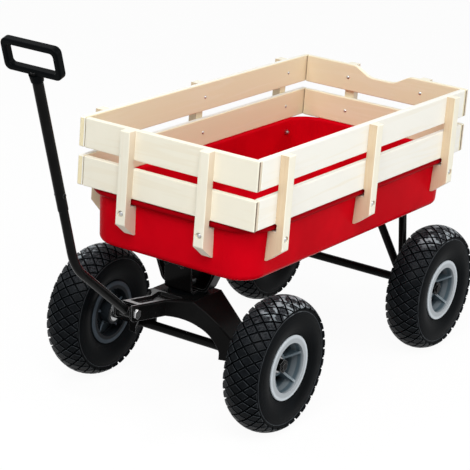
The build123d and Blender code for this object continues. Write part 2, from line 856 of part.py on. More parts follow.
def king_pin_nut():
    """Nut on the king pin, just under the yoke's top plate."""
    seat = (front_axle_x, 0, yoke_top_height - yoke_sheet - turning_gap)
    return hex_nut(seat, down, king_pin_diameter)


# Rear axle brackets and floor fasteners


def rear_bracket(side):
    """Two struts from an axle eye up to foot plates under the floor, as one welded piece."""
    eye_centre = Vector(rear_axle_x, side * strut_eye_y, axle_height)
    eye_diameter = axle_diameter + 2 * strut_eye_wall
    bracket = cross_bar(eye_centre, strut_eye_width, eye_diameter)
    foot_length = strut_bolt_offset + 2 * strut_foot_margin
    foot_y = side * (strut_top_y - strut_bolt_offset / 2)
    for end, bolt_x in zip(strut_ends, strut_bolt_x):
        top = Vector(rear_axle_x + end * strut_top_spread / 2, side * strut_top_y, tray_floor_height)
        strut = bar(eye_centre, top - eye_centre, (top - eye_centre).length + strut_diameter, strut_diameter)
        above = Pos(top.X, top.Y, tray_floor_height + foot_length) * Box(
            2 * foot_length, 2 * foot_length, 2 * foot_length
        )
        plate = Box(strut_foot_width, foot_length, strut_foot_thickness)
        plate = chamfer(plate.edges().filter_by(Axis.Z), strut_foot_width / 4)
        foot_x = (top.X + bolt_x) / 2
        bracket += strut - above
        bracket += Pos(foot_x, foot_y, tray_floor_height - strut_foot_thickness / 2) * plate
        bolt_place = (bolt_x, side * strut_bolt_y, tray_floor_height)
        bracket -= bar(bolt_place, down, strut_foot_thickness, floor_bolt_diameter + 2 * slip)
    return bracket - cross_bar(eye_centre, 2 * strut_eye_width, axle_diameter + 2 * slip)


def floor_bolts():
    """Round-headed bolts from the tray's floor down through the bolster and the bracket feet."""
    bolts = []
    for x, y, thickness in floor_bolt_places:
        length = tray_sheet + thickness + floor_bolt_diameter * nut_ratio + bolt_tail
        bolts.append(domed_bolt((x, y, floor_top_height), up, floor_bolt_diameter, length))
    return group(bolts)


def floor_nuts():
    """Nuts under the bolster's flanges and the bracket feet."""
    return group([
        hex_nut((x, y, tray_floor_height - thickness), down, floor_bolt_diameter)
        for x, y, thickness in floor_bolt_places
    ])


# Handle, drawn in the middle plane


def direction(angle):
    """Unit direction in the middle plane at an angle above the forward axis."""
    return Vector(math.cos(math.radians(angle)), 0, math.sin(math.radians(angle)))


pivot_point = Vector(pivot_x, 0, pivot_height)
bend_point = pivot_point + direction(lower_angle) * lower_run
shaft = direction(upper_angle)


def on_shaft(distance):
    """Plane across the upper shaft at a distance above the bend, local x across the wagon."""
    return Plane(origin=bend_point + shaft * distance, x_dir=leftward, z_dir=shaft)


def rivet_hole():
    """Cutter for the rivet that joins the two tubes."""
    return cross_bar(bend_point + shaft * rivet_place, 3 * upper_tube_diameter, rivet_diameter + 2 * slip)


def handle_lower_tube():
    """Bent tube with a cross sleeve that turns on the pivot bolt."""
    path = FilletPolyline(
        pivot_point, bend_point, bend_point + shaft * lower_tube_end, radius=handle_bend_radius
    )
    start = Plane(origin=path @ 0, x_dir=leftward, z_dir=path % 0)
    outside = sweep(start * Circle(lower_tube_diameter / 2), path=path)
    inside = sweep(start * Circle(lower_tube_diameter / 2 - lower_tube_wall), path=path)
    sleeve_diameter = pivot_bolt_diameter + 2 * pivot_sleeve_wall
    sleeve_length = nose_width - 2 * yoke_sheet - 2 * turning_gap
    sleeve = cross_bar(pivot_point, sleeve_length, sleeve_diameter)
    tube = outside - inside + sleeve
    tube -= cross_bar(pivot_point, nose_width, pivot_bolt_diameter + 2 * running)
    return tube - rivet_hole()


def handle_upper_tube():
    """Straight tube sleeved over the lower one and let into the grip."""
    outline = Circle(upper_tube_diameter / 2) - Circle(upper_tube_bore / 2)
    tube = extrude(on_shaft(upper_tube_start) * outline, upper_tube_end - upper_tube_start)
    return tube - rivet_hole()


def handle_grip():
    """Moulded loop with a rounded window and a socket for the shaft."""
    loop_plane = Plane(
        origin=bend_point + shaft * (grip_start + grip_height / 2), x_dir=leftward, z_dir=leftward.cross(shaft)
    )
    window = RectangleRounded(grip_width - 2 * grip_bar, grip_height - 2 * grip_bar, grip_window_radius)
    outline = RectangleRounded(grip_width, grip_height, grip_corner_radius) - window
    loop = extrude(loop_plane * outline, grip_depth / 2, both=True)
    face_edges = loop.edges().filter_by(lambda edge: abs((edge @ 0.5 - loop_plane.origin).dot(
        loop_plane.z_dir)) > grip_depth / 2 - slip)
    loop = fillet(face_edges, grip_edge_radius)
    neck_start = grip_start - grip_neck_length
    neck = Solid.make_cone(
        upper_tube_diameter / 2 + grip_socket_wall,
        grip_neck_diameter / 2,
        grip_neck_length + grip_bar / 2,
        on_shaft(neck_start),
    )
    depth_plane = on_shaft(grip_start)
    neck -= extrude(depth_plane * (Rectangle(grip_width, grip_width) - Rectangle(grip_width, grip_depth)),
                    grip_bar)
    socket = extrude(on_shaft(neck_start) * Circle(upper_tube_diameter / 2 + slip), grip_socket_depth + slip)
    return loop + neck - socket


def handle_pivot_bolt():
    """Bolt through the nose and the handle's sleeve, head on the left."""
    seat = pivot_point + leftward * nose_width / 2
    length = nose_width + pivot_bolt_diameter * nut_ratio + bolt_tail
    return hex_bolt(seat, leftward, pivot_bolt_diameter, length)


def handle_pivot_nut():
    """Nut on the pivot bolt, on the right of the nose."""
    return hex_nut(pivot_point - leftward * nose_width / 2, leftward * -1, pivot_bolt_diameter)


def handle_rivet():
    """Rivet with a round head on each side of the tubes."""
    centre = bend_point + shaft * rivet_place
    half = upper_tube_diameter / 2
    rivet = cross_bar(centre, 2 * half, rivet_diameter)
    for side in (-1, 1):
        rivet += dome(centre + leftward * side * half, leftward * side, rivet_diameter)
    return rivet


def all_pieces():
    """Every node of the wagon by name."""
    pieces = {"tray": tray()}
    for side in sides:
        for level in slat_bases:
            pieces[f"slat_{side}_{level}"] = slat(side, level)
    for side, (_, _, _, places) in sides.items():
        for place in places:
            pieces[f"stake_{side}_{place}"] = stake(side, place)
    pieces["stake_bolts"] = stake_bolts()
    pieces["stake_nuts"] = stake_nuts()
    pieces["slat_screws"] = slat_screws()
    wheel_pieces = {"tyre": tyre(), "rim": rim(), "bearings": bearings(), "valve": valve()}
    for name, piece in wheel_pieces.items():
        for corner in corners:
            pieces[f"{name}_{corner}"] = at_corner(piece, corner)
    for name, x in (("front", front_axle_x), ("rear", rear_axle_x)):
        pieces[f"{name}_axle"] = axle(x)
        pieces[f"{name}_axle_washers"] = axle_washers(x)
        pieces[f"{name}_axle_nuts"] = axle_nuts(x)
    pieces["steering_yoke"] = steering_yoke()
    pieces["turntable_ring"] = turntable_ring()
    pieces["bolster"] = bolster()
    pieces["king_pin"] = king_pin()
    pieces["king_pin_nut"] = king_pin_nut()
    pieces["rear_axle_bracket_left"] = rear_bracket(1)
    pieces["rear_axle_bracket_right"] = rear_bracket(-1)
    pieces["floor_bolts"] = floor_bolts()
    pieces["floor_nuts"] = floor_nuts()
    pieces["handle_lower_tube"] = handle_lower_tube()
    pieces["handle_upper_tube"] = handle_upper_tube()
    pieces["handle_grip"] = handle_grip()
    pieces["handle_pivot_bolt"] = handle_pivot_bolt()
    pieces["handle_pivot_nut"] = handle_pivot_nut()
    pieces["handle_rivet"] = handle_rivet()
    return pieces


pieces = all_pieces()
boxes = [piece.bounding_box() for piece in pieces.values()]
middle_x = (min(box.min.X for box in boxes) + max(box.max.X for box in boxes)) / 2
os.makedirs("parts", exist_ok=True)
for name, piece in pieces.items():
    export_step(Pos(-middle_x, 0, 0) * piece, f"parts/{name}.step")
print("moved along X by", -middle_x)
print("king pin at X", front_axle_x - middle_x)
print("rear axle at X", rear_axle_x - middle_x)
print("handle pivot at X", pivot_x - middle_x, "Z", pivot_height)
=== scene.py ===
"""Looks of a hand wagon: treaded tyres, enamelled tray, pine rails, coated running gear and a studio stage."""

import math

import bmesh
import bpy
from bpy.props import FloatProperty, FloatVectorProperty, IntProperty, PointerProperty
from bpy.types import Operator, Panel, PropertyGroup
from mathutils import Matrix, Vector


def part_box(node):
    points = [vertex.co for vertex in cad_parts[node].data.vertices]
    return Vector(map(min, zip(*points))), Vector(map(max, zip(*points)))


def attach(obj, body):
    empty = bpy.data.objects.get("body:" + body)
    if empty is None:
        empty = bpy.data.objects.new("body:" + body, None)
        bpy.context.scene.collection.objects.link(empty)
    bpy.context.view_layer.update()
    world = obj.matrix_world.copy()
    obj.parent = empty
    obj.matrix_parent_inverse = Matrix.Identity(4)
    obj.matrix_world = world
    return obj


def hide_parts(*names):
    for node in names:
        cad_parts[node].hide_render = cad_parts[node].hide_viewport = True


bl_info = {
    "name": "Hand wagon looks",
    "version": (1, 0, 0),
    "blender": (4, 5, 0),
    "location": "View3D > Sidebar > Wagon",
    "description": "Adds treaded tyres, finishes and a studio stage to the frame of a hand wagon",
    "category": "Object",
}

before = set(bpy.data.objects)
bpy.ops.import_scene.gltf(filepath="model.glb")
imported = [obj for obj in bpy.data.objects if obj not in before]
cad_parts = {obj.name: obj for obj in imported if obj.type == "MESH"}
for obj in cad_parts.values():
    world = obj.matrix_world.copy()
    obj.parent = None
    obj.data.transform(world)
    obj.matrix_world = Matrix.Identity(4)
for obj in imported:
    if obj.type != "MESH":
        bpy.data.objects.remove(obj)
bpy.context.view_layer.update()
tray_middle = sum((Vector(corner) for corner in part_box("tray")), Vector()) / 2
CORNERS = ("front_left", "front_right", "rear_left", "rear_right")
X, Y, Z = range(3)

# Slots of a tyre's finishes, after the side wall's, which is 0. The last one is a lighter rubber that paints a
# highlight on edges.
BLOCK, EDGE_HIGHLIGHT = 1, 2

# Sizes in metres, the sensor in millimetres.
EDGE_ROUNDING = 0.0006
FLOOR_SIZE = 40
SENSOR_WIDTH = 36
VIEW_DEPTH = 100


def node_names(*starts):
    """Names of the frame's nodes that begin with one of the words."""
    return [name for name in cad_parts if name.startswith(starts)]


def colour(name, text, default):
    """A colour that a user can change."""
    return FloatVectorProperty(name=name, description=text, default=default, subtype="COLOR", min=0, max=1)


def length(name, text, default):
    """A length in metres that a user can change."""
    return FloatProperty(name=name, description=text, default=default, unit="LENGTH", precision=4)


def angle(name, text, degrees):
    """An angle that a user can change."""
    return FloatProperty(name=name, description=text, default=math.radians(degrees), subtype="ANGLE")


class WagonTyreSettings(PropertyGroup):
    """Sizes of the tyres' tread and side walls."""

    blocks_round: IntProperty(name="Blocks round", description="Tread blocks in one turn", default=36, min=12)
    blocks_across: IntProperty(name="Blocks across", description="Tread blocks from shoulder to shoulder",
                               default=3)
    crown_radius: length("Crown radius", "Radius of the tread's cross section", 0.0565)
    tread_width: length("Tread width", "Width between the outer corners of the blocks", 0.079)
    tread_depth: length("Tread depth", "Height of the blocks above the grooves", 0.0042)
    groove: length("Groove", "Width of the grooves' floor", 0.0022)
    block_draft: length("Block draft", "Run of a block's sloping side", 0.0008)
    block_edge: length("Block edge", "Rounding of a block's upper edge", 0.0006)
    belly_radius: length("Belly radius", "Distance from the wheel's axis to the side wall's widest place", 0.0935)
    belly_inset: length("Belly inset", "Distance of that place inside the tyre's full width", 0.0020)
    shoulder_angle: angle("Shoulder angle", "Turn of the side wall's upper end", 17.0)
    lip_radius: length("Lip radius", "Radius where the side wall meets the rim's flange", 0.0645)
    lip_width: length("Lip width", "Width of the tyre inside the rim's flanges", 0.0596)
    seat_radius: length("Seat radius", "Radius of the bead on the rim", 0.0532)
    ridge: length("Ridge", "Height of the ridges on the side wall", 0.0009)


class WagonFinishSettings(PropertyGroup):
    """Colours of the wagon's finishes."""

    enamel: colour("Enamel", "Red enamel of the tray", (0.610, 0.001, 0.008))
    pine_face: colour("Pine face", "Planed face of the long boards", (0.890, 0.880, 0.815))
    # Painted light: yellower than the long boards' face, standing in for the warmer light that falls on the
    # front.
    pine_end_face: colour("Pine end face", "Planed face of the end boards and posts", (0.890, 0.855, 0.720))
    pine_streak: colour("Pine streak", "Late wood between the pale bands", (0.840, 0.770, 0.600))
    pine_side: colour("Pine side", "Sawn sides of the long sides' posts", (0.645, 0.460, 0.265))
    pine_end_side: colour("Pine end side", "Sawn sides of the end posts", (0.740, 0.590, 0.430))
    # Painted shade: a darker tone for the boards' inner faces.
    pine_inner_shade: colour("Pine inside", "Painted shade on the inner faces of the boards", (0.790, 0.700, 0.480))
    end_grain: colour("End grain", "Sawn ends of the end boards", (0.680, 0.565, 0.435))
    # Painted shade: a dark line along the corner edge of the end boards' sawn ends.
    seam_shade_tone: colour("Seam shade", "Painted shade line along one edge of those ends", (0.130, 0.088, 0.048))
    long_end_grain: colour("Long end grain", "Sawn ends of the long boards", (0.890, 0.760, 0.425))
    rubber: colour("Rubber", "Tyre rubber of the side walls and grooves", (0.0020, 0.0026, 0.0032))
    block_rubber: colour("Block rubber", "Dry rubber on top of the tread blocks", (0.0036, 0.0045, 0.0054))
    # Painted highlight on the edges of the tread blocks and on the side wall's ridge.
    edge_highlight_rubber: colour("Edge highlight rubber", "Edges of the tread blocks", (0.030, 0.034, 0.038))
    # Dusting with a painted sheen on the upper tread blocks.
    tread_dusting_and_sheen: colour("Tread dusting and sheen", "Dusting and painted sheen on the upper tread blocks", (0.040, 0.044, 0.049))
    # Painted glints on the topmost blocks.
    glint_rubber: colour("Glint rubber", "Painted glints on the topmost blocks", (0.255, 0.288, 0.308))
    rim_grey: colour("Rim grey", "Moulded wheel rims", (0.520, 0.570, 0.605))
    # Painted shade: darker tones for the rims' hollow and inner side.
    rim_hollow_shade: colour("Rim recess", "Painted shade in the hollow of the rims", (0.080, 0.115, 0.138))
    rim_inner_shade: colour("Rim back", "Painted shade on the inner side of the rims", (0.010, 0.013, 0.016))
    rim_inner_shade_grey: colour("Rim back grey", "Shaded grey of the flange and ribs on that side", (0.105, 0.135, 0.165))
    coat: colour("Coat", "Black powder coat of the running gear", (0.004, 0.004, 0.004))
    # Painted highlight along the powder coat's edges.
    coat_highlight: colour("Coat highlight", "Painted highlight along the powder coat's edges", (0.230, 0.235, 0.240))
    grip_black: colour("Grip black", "Moulded handle grip", (0.0016, 0.0022, 0.0026))
    zinc: colour("Zinc", "Plated fasteners", (0.560, 0.565, 0.570))
    black_zinc: colour("Black zinc", "Dark plated pins and bolts", (0.090, 0.092, 0.095))
    # Painted shade: the bearing rings get a dark tone that stands in for the shade inside the hub.
    bearing: colour("Bearing", "Ground bearing rings", (0.080, 0.080, 0.080))


class WagonStageSettings(PropertyGroup):
    """Camera, lamps and floor."""

    azimuth: angle("Azimuth", "Turn of the camera round the wagon", 122.573)
    elevation: angle("Elevation", "Height of the camera above the floor as an angle", 18.127)
    roll: angle("Roll", "Tilt of the picture", 4.413)
    distance: length("Distance", "Distance from the camera to its target", 3.9379)
    target: FloatVectorProperty(name="Target", description="Point that the camera looks at", subtype="XYZ",
                                unit="LENGTH", default=(tray_middle.x + 0.1670, 0.01377, 0.3100))
    lens: FloatProperty(name="Lens", description="Focal length on a 36 mm sensor", default=154.44, min=10)
    sky: FloatProperty(name="Sky", description="Strength of the even light from all round", default=0.30, min=0)
    key: FloatProperty(name="Key", description="Power of the large lamp over the camera", default=140.0, min=0)
    side: FloatProperty(name="Side", description="Power of the lamp on the wagon's left", default=56.0, min=0)
    top: FloatProperty(name="Top", description="Power of the small lamp overhead", default=15.0, min=0)
    floor: colour("Floor", "Colour of the floor", (0.60, 0.60, 0.60))
    floor_glow: FloatProperty(name="Floor glow", default=0.95, min=0, max=1,
                              description="Share of plain white in what the camera sees of the floor")


class Value:
    """A number or colour from a shader socket, which takes part in sums."""

    def __init__(self, finish, socket):
        self.finish = finish
        self.socket = socket

    def math(self, operation, *numbers):
        """A Math node on the given numbers."""
        return self.finish.node("ShaderNodeMath", {"operation": operation}, dict(enumerate(numbers)))

    def __add__(self, other):
        return self.math("ADD", self, other)

    def __radd__(self, other):
        return self.math("ADD", other, self)

    def __sub__(self, other):
        return self.math("SUBTRACT", self, other)

    def __rsub__(self, other):
        return self.math("SUBTRACT", other, self)

    def __mul__(self, other):
        return self.math("MULTIPLY", self, other)

    def __rmul__(self, other):
        return self.math("MULTIPLY", other, self)

    def __pow__(self, other):
        return self.math("POWER", self, other)

    def __abs__(self):
        return self.math("ABSOLUTE", self)

    def sine(self):
        """The sine of the number."""
        return self.math("SINE", self)

    def larger(self, other):
        """The larger of two numbers."""
        return self.math("MAXIMUM", self, other)

    def smaller(self, other):
        """The smaller of two numbers."""
        return self.math("MINIMUM", self, other)

    def between(self, low, high):
        """A smooth step from 0 at low to 1 at high."""
        inputs = {"Value": self, "From Min": low, "From Max": high}
        return self.finish.node("ShaderNodeMapRange", {"interpolation_type": "SMOOTHSTEP"}, inputs)

    def mix(self, first, second):
        """A colour that goes from the first to the second as the number goes from 0 to 1."""
        inputs = {0: self, 6: first, 7: second}
        return self.finish.node("ShaderNodeMix", {"data_type": "RGBA"}, inputs, output=2)


class Finish:
    """A material or world under construction."""

    def __init__(self, name, kind="materials"):
        self.block = getattr(bpy.data, kind).new(name)
        self.block.use_nodes = True
        self.tree = self.block.node_tree
        self.tree.nodes.clear()

    def node(self, kind, settings=None, inputs=None, output=0):
        """A node with its settings, then its inputs as numbers, colours or links. Gives one of its outputs."""
        node = self.tree.nodes.new(kind)
        for key, setting in (settings or {}).items():
            setattr(node, key, setting)
        for key, given in (inputs or {}).items():
            socket = node.inputs[key]
            if isinstance(given, Value):
                self.tree.links.new(given.socket, socket)
            elif socket.type == "RGBA":
                socket.default_value = (*given, 1.0)[:4]
            else:
                socket.default_value = given
        return Value(self, node.outputs[output]) if node.outputs else None

    def place(self):
        """The point on the surface, in the wagon's own metres."""
        return self.node("ShaderNodeTexCoord", output="Object")

    def stretched(self, scale):
        """The point with each axis scaled."""
        return self.node("ShaderNodeMapping", inputs={"Vector": self.place(), "Scale": scale})

    def outputs(self, kind, names, inputs=None):
        """Several outputs of one node."""
        made = self.node(kind, inputs=inputs).socket.node
        return [Value(self, made.outputs[name]) for name in names]

    def parts(self, vector):
        """The three numbers of a vector."""
        return self.outputs("ShaderNodeSeparateXYZ", ("X", "Y", "Z"), {0: vector})

    def noise(self, vector, scale, detail=2.0):
        """Cloudy noise about one half."""
        return self.node("ShaderNodeTexNoise", inputs={"Vector": vector, "Scale": scale, "Detail": detail})

    def facing(self):
        """How far the surface faces along each of the piece's own axes, from 0 to 1."""
        return [abs(part) for part in self.parts(self.node("ShaderNodeTexCoord", output="Normal"))]

    def outward(self):
        """Above 0 where the surface looks away from the tray's middle, and below 0 inside the tray and rails."""
        along, across, _ = self.parts(self.place())
        ahead, aside, _ = self.parts(self.node("ShaderNodeNewGeometry", output="Normal"))
        return (along - tray_middle.x) * ahead + across * aside

    def bump(self, height, strength, distance):
        """A normal that follows a height, with the piece's edges rounded off."""
        rounded = self.node("ShaderNodeBevel", {"samples": 6}, {"Radius": EDGE_ROUNDING})
        inputs = {"Height": height, "Strength": strength, "Distance": distance, "Normal": rounded}
        return self.node("ShaderNodeBump", inputs=inputs)

    def edges(self, width):
        """Near 1 along the piece's sharp edges and 0 elsewhere."""
        rounded = self.node("ShaderNodeBevel", {"samples": 8}, {"Radius": width})
        plain = self.node("ShaderNodeNewGeometry", output="Normal")
        pair = {0: rounded, 1: plain}
        alike = self.node("ShaderNodeVectorMath", {"operation": "DOT_PRODUCT"}, pair, output="Value")
        return (1 - alike).between(0.02, 0.20)

    def axle_distance(self, front, rear):
        """Distance from the nearer of the two axles."""
        along, _, height = self.parts(self.place())
        run = abs(along - front.x).smaller(abs(along - rear.x))
        return (run ** 2 + (height - front.z) ** 2) ** 0.5

    def skin(self, **sockets):
        """A surface, with its sockets named in words joined by underscores."""
        named = {key.replace("_", " ").title().replace("Ior", "IOR"): given for key, given in sockets.items()}
        return self.node("ShaderNodeBsdfPrincipled", inputs=named)

    def done(self, skin):
        """The material, finished with a surface."""
        self.node("ShaderNodeOutputMaterial", inputs={"Surface": skin})
        return self.block

    def surface(self, **sockets):
        """The material, finished with one surface all over."""
        return self.done(self.skin(**sockets))


def red_enamel(tone, roll_foot):
    """Gloss enamel with a faint orange peel, a slightly uneven film and painted shade on the outer wall at the
    rolled rim.
    """
    finish = Finish("red_enamel")
    shade_heights = (roll_foot - 0.006, roll_foot + 0.001)
    film = finish.noise(finish.place(), 9.0, detail=3.0)
    peel = finish.noise(finish.place(), 420.0)
    height = finish.parts(finish.place())[Z]
    # Painted shade: on outward faces the rolled rim and a band of wall under it are darkened to about half the
    # red.
    rim_shade = height.between(*shade_heights) * finish.outward().between(0.0, 0.04)
    deeper = tuple(part * 0.82 for part in tone)
    shaded_red = tuple(part * 0.52 for part in tone)
    return finish.surface(
        base_color=rim_shade.mix(film.between(0.3, 0.7).mix(tone, deeper), shaded_red),
        roughness=0.20 + 0.10 * film,
        normal=finish.bump(peel, 0.05, 0.0004),
        specular_ior_level=0.008,
    )


def pine(name, grain, sawn, face, streak, side, inside, seam_shade=None, shaded_seams=()):
    """Planed pine with its grain along one axis, sawn surfaces square to another and painted shade on the inner
    faces.

    Shaded seams are places along the wagon where a painted line of shade darkens the edge of a sawn surface, at
    the corner.
    """
    finish = Finish(name)
    stretch = [26.0] * 3
    stretch[grain] = 1.6
    fibre_stretch = [900.0] * 3
    fibre_stretch[grain] = 18.0
    seam_shade_fade = (0.0040, 0.0075)
    along = finish.stretched(stretch)
    drift = finish.noise(along, 1.0, detail=3.0)
    across = [part for axis, part in enumerate(finish.parts(along)) if axis != grain]
    rings = (across[0] + 0.7 * across[1] + 5.0 * drift) * 7.0
    late = (0.5 + 0.5 * rings.sine()).between(0.55, 1.0)
    fibre = finish.noise(finish.stretched(fibre_stretch), 1.0, detail=3.0)
    patch = finish.noise(finish.place(), 5.0).between(0.35, 0.7)
    # Painted shade: faces that look towards the tray's middle take the darker inner tone.
    inner = (0 - finish.outward()).between(0.03, 0.08)
    pale = (late * (0.10 + 0.26 * patch) + 0.12 * fibre).mix(inner.mix(face, inside), streak)
    cut = finish.facing()[sawn].between(0.75, 0.95)
    sawn_tone = (0.5 + 0.5 * fibre).mix(face, side)
    # Painted shade: a dark line where the sawn ends meet the corner edge.
    for edge in shaded_seams:
        gap = abs(finish.parts(finish.place())[X] - edge)
        sawn_tone = (1 - gap.between(*seam_shade_fade)).mix(sawn_tone, seam_shade)
    return finish.surface(
        base_color=cut.mix(pale, sawn_tone),
        roughness=0.42 + 0.16 * fibre,
        normal=finish.bump(fibre * 0.6 + late * 0.4, 0.12, 0.0006),
        specular_ior_level=0.3,
    )


def tread_rubber(name, tone, dusting_and_sheen, painted_highlight, track):
    """Moulded rubber with a dry bloom and a fine grain, paler on the upper blocks from dusting and a painted
    sheen, with painted glints on the topmost ones.

    The track is the distance from the wagon's middle plane to the middle of its wheels.
    """
    finish = Finish(name)
    dusting_and_sheen_heights = (0.180, 0.262)
    glint_heights = (0.236, 0.254)
    glint_edge = (-0.012, 0.004)
    bloom = finish.noise(finish.place(), 60.0, detail=4.0)
    grain = finish.noise(finish.place(), 900.0)
    fleck = finish.noise(finish.place(), 330.0, detail=3.0).between(0.36, 0.64)
    _, across, height = finish.parts(finish.place())
    # Dusting and a painted sheen: pale flecks over the upper part of the wheel.
    dusting_and_sheen_mask = height.between(*dusting_and_sheen_heights) * fleck
    patch = finish.noise(finish.place(), 75.0).between(0.46, 0.58)
    # Painted glints: pale patches on the highest blocks of the tread's outer half.
    topmost = height.between(*glint_heights) * (abs(across) - track).between(*glint_edge)
    paler = tuple(part * 1.7 for part in tone)
    dusted_and_sheened = dusting_and_sheen_mask.mix(bloom.between(0.35, 0.75).mix(tone, paler), dusting_and_sheen)
    return finish.surface(
        base_color=(topmost * patch).mix(dusted_and_sheened, painted_highlight),
        roughness=0.26 + 0.20 * bloom,
        normal=finish.bump(grain, 0.10, 0.0003),
        specular_ior_level=0.035,
    )


def wall_rubber(tone, front, rear):
    """Rubber of the side walls, with fine moulded rings round the wheel."""
    finish = Finish("wall_rubber")
    ring_pitch = 0.0032
    outer_band = (0.098, 0.101)
    inner_band = (0.074, 0.077)
    bloom = finish.noise(finish.place(), 24.0, detail=4.0)
    radius = finish.axle_distance(front, rear)
    band = radius.between(*outer_band) + 1 - radius.between(*inner_band)
    rings = (0.5 + 0.5 * (radius * (math.tau / ring_pitch)).sine()) * band
    paler = tuple(part * 1.7 for part in tone)
    return finish.surface(
        base_color=bloom.between(0.35, 0.75).mix(tone, paler),
        roughness=0.34 + 0.16 * bloom,
        normal=finish.bump(rings, 0.5, 0.0005),
        specular_ior_level=0.022,
    )


def moulded_plastic(name, tone, roughness, grain_scale):
    """Moulded plastic or rubber with an even grain, finer as its scale goes up."""
    finish = Finish(name)
    cloud = finish.noise(finish.place(), 14.0, detail=3.0)
    grain = finish.noise(finish.place(), grain_scale)
    deeper = tuple(part * 0.86 for part in tone)
    return finish.surface(
        base_color=cloud.between(0.3, 0.7).mix(tone, deeper),
        roughness=roughness - 0.06 + 0.12 * cloud,
        normal=finish.bump(grain, 0.12, 0.0003),
        specular_ior_level=0.030,
    )


def rim_plastic(tone, hollow_shade, back, inner_shade_grey, front, rear, half_width):
    """Moulded grey plastic with painted light and shade: full grey at the outer flange's edge and darker inwards,
    a lighter band on the step, dark in the hollow and at the hub, and a dark, dull copy on the inner side.

    The ranges are radii, depths below the flange and places across the rim where one tone turns into the next.
    """
    finish = Finish("rim_plastic")
    hub_radii, step_radii = (0.024, 0.034), (0.044, 0.047)
    flange_radii, back_flange_radii = (0.0560, 0.0605), (0.0540, 0.0575)
    flange_depths, step_tops, step_feet = (0.003, 0.011), (0.013, 0.016), (0.025, 0.028)
    rib_backs, rib_fronts, seam = (-0.027, -0.024), (-0.018, -0.015), (-0.012, 0.012)
    cloud = finish.noise(finish.place(), 30.0, detail=3.0)
    grain = finish.bump(finish.noise(finish.place(), 700.0), 0.12, 0.0003)
    radius = finish.axle_distance(front, rear)
    outward = abs(finish.parts(finish.place())[Y]) - front.y
    depth = half_width - abs(outward)
    flange = 1 - (depth + 0.004 * cloud).between(*flange_depths)
    # Painted shade: the hollow and the hub take the dark hollow tone, and the outer flange keeps the grey.
    unshaded = flange * radius.between(*hub_radii)
    # Painted light: a lighter band on the step of the hollow.
    step = 0.42 * depth.between(*step_tops) * (1 - depth.between(*step_feet)) * radius.between(*step_radii)
    duller = tuple(part * 0.66 for part in tone)
    # Painted highlight and shade: the flange is full grey at its outer edge and duller inwards.
    outer_side = finish.skin(
        base_color=unshaded.larger(step).mix(hollow_shade, radius.between(*flange_radii).mix(duller, tone)),
        roughness=0.24 + 0.14 * cloud,
        normal=grain,
        specular_ior_level=0.45,
    )
    square = finish.facing()[Y].between(0.7, 0.9)
    ribs = square * outward.between(*rib_backs) * (1 - outward.between(*rib_fronts))
    # Painted shade: the inner side is a dark, less shiny copy, with its flange and ribs in a shaded grey.
    inner_side = finish.skin(
        base_color=(flange * radius.between(*back_flange_radii)).larger(ribs).mix(back, inner_shade_grey),
        roughness=0.40 + 0.14 * cloud,
        normal=grain,
        specular_ior_level=0.06,
    )
    side = outward.between(*seam)
    return finish.done(finish.node("ShaderNodeMixShader", inputs={0: side, 1: inner_side, 2: outer_side}))


def powder_coat(name, tone, highlight_grey, nose=None):
    """Black powder coat with a soft pebbled skin and a painted highlight along its edges.

    The nose is the foremost upper corner of a yoke, whose border round the sunk panel takes the painted highlight
    too.
    """
    finish = Finish(name)
    highlight_width = 0.0016
    nose_slope = 0.148
    border_levels = (-0.0040, -0.0015)
    cloud = finish.noise(finish.place(), 18.0, detail=3.0)
    pebble = finish.noise(finish.place(), 650.0)
    paler = tuple(part * 1.6 for part in tone)
    # Painted highlight: a pale line along the sharp edges, patchy with the clouding.
    painted_highlight = finish.edges(highlight_width) * cloud.between(0.30, 0.60)
    if nose is not None:
        border_start = (nose.x - 0.13, nose.x - 0.06)
        along, _, height = finish.parts(finish.place())
        level = height - (nose.z - (nose.x - along) * nose_slope)
        # Painted highlight on the upward-facing border round the yoke's sunk panel.
        border = level.between(*border_levels) * along.between(*border_start)
        painted_highlight = painted_highlight.larger(border * finish.facing()[Z].between(0.80, 0.95))
    return finish.surface(
        base_color=painted_highlight.mix(cloud.between(0.35, 0.7).mix(tone, paler), highlight_grey),
        roughness=0.16 + 0.14 * cloud,
        normal=finish.bump(pebble, 0.08, 0.0004),
        specular_ior_level=0.045,
    )


def plated_steel(name, tone, roughness):
    """Plated steel with faint clouding and fine scratches."""
    finish = Finish(name)
    cloud = finish.noise(finish.place(), 60.0, detail=4.0)
    scratch = finish.noise(finish.stretched((1800.0, 1800.0, 200.0)), 1.0)
    duller = tuple(part * 0.8 for part in tone)
    return finish.surface(
        base_color=cloud.between(0.3, 0.7).mix(tone, duller),
        metallic=1.0,
        roughness=roughness + 0.14 * cloud,
        normal=finish.bump(scratch, 0.06, 0.0002),
    )


def dress(names, material):
    """Gives a finish to nodes of the frame."""
    for name in names:
        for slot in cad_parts[name].material_slots:
            slot.material = material


def select(piece, kind, test):
    """Selects the piece's verts, edges or faces that pass a test, and nothing else."""
    bpy.ops.mesh.select_mode(type=kind)
    bpy.ops.mesh.select_all(action="DESELECT")
    mesh = bmesh.from_edit_mesh(piece.data)
    items = {"VERT": mesh.verts, "EDGE": mesh.edges, "FACE": mesh.faces}[kind]
    for item in items:
        if test(item):
            item.select_set(True)
    mesh.select_flush_mode()
    bmesh.update_edit_mesh(piece.data)


def paint(piece, slot, test):
    """Gives one of the piece's finishes to the faces that pass a test."""
    select(piece, "FACE", test)
    piece.active_material_index = slot
    bpy.ops.object.material_slot_assign()


def bend(piece, axis, turn):
    """Bends the whole piece about an axis and keeps the result."""
    modifier = piece.modifiers.new("bend", "SIMPLE_DEFORM")
    modifier.deform_method = "BEND"
    modifier.deform_axis = axis
    modifier.angle = turn
    bpy.ops.object.modifier_apply(modifier=modifier.name)


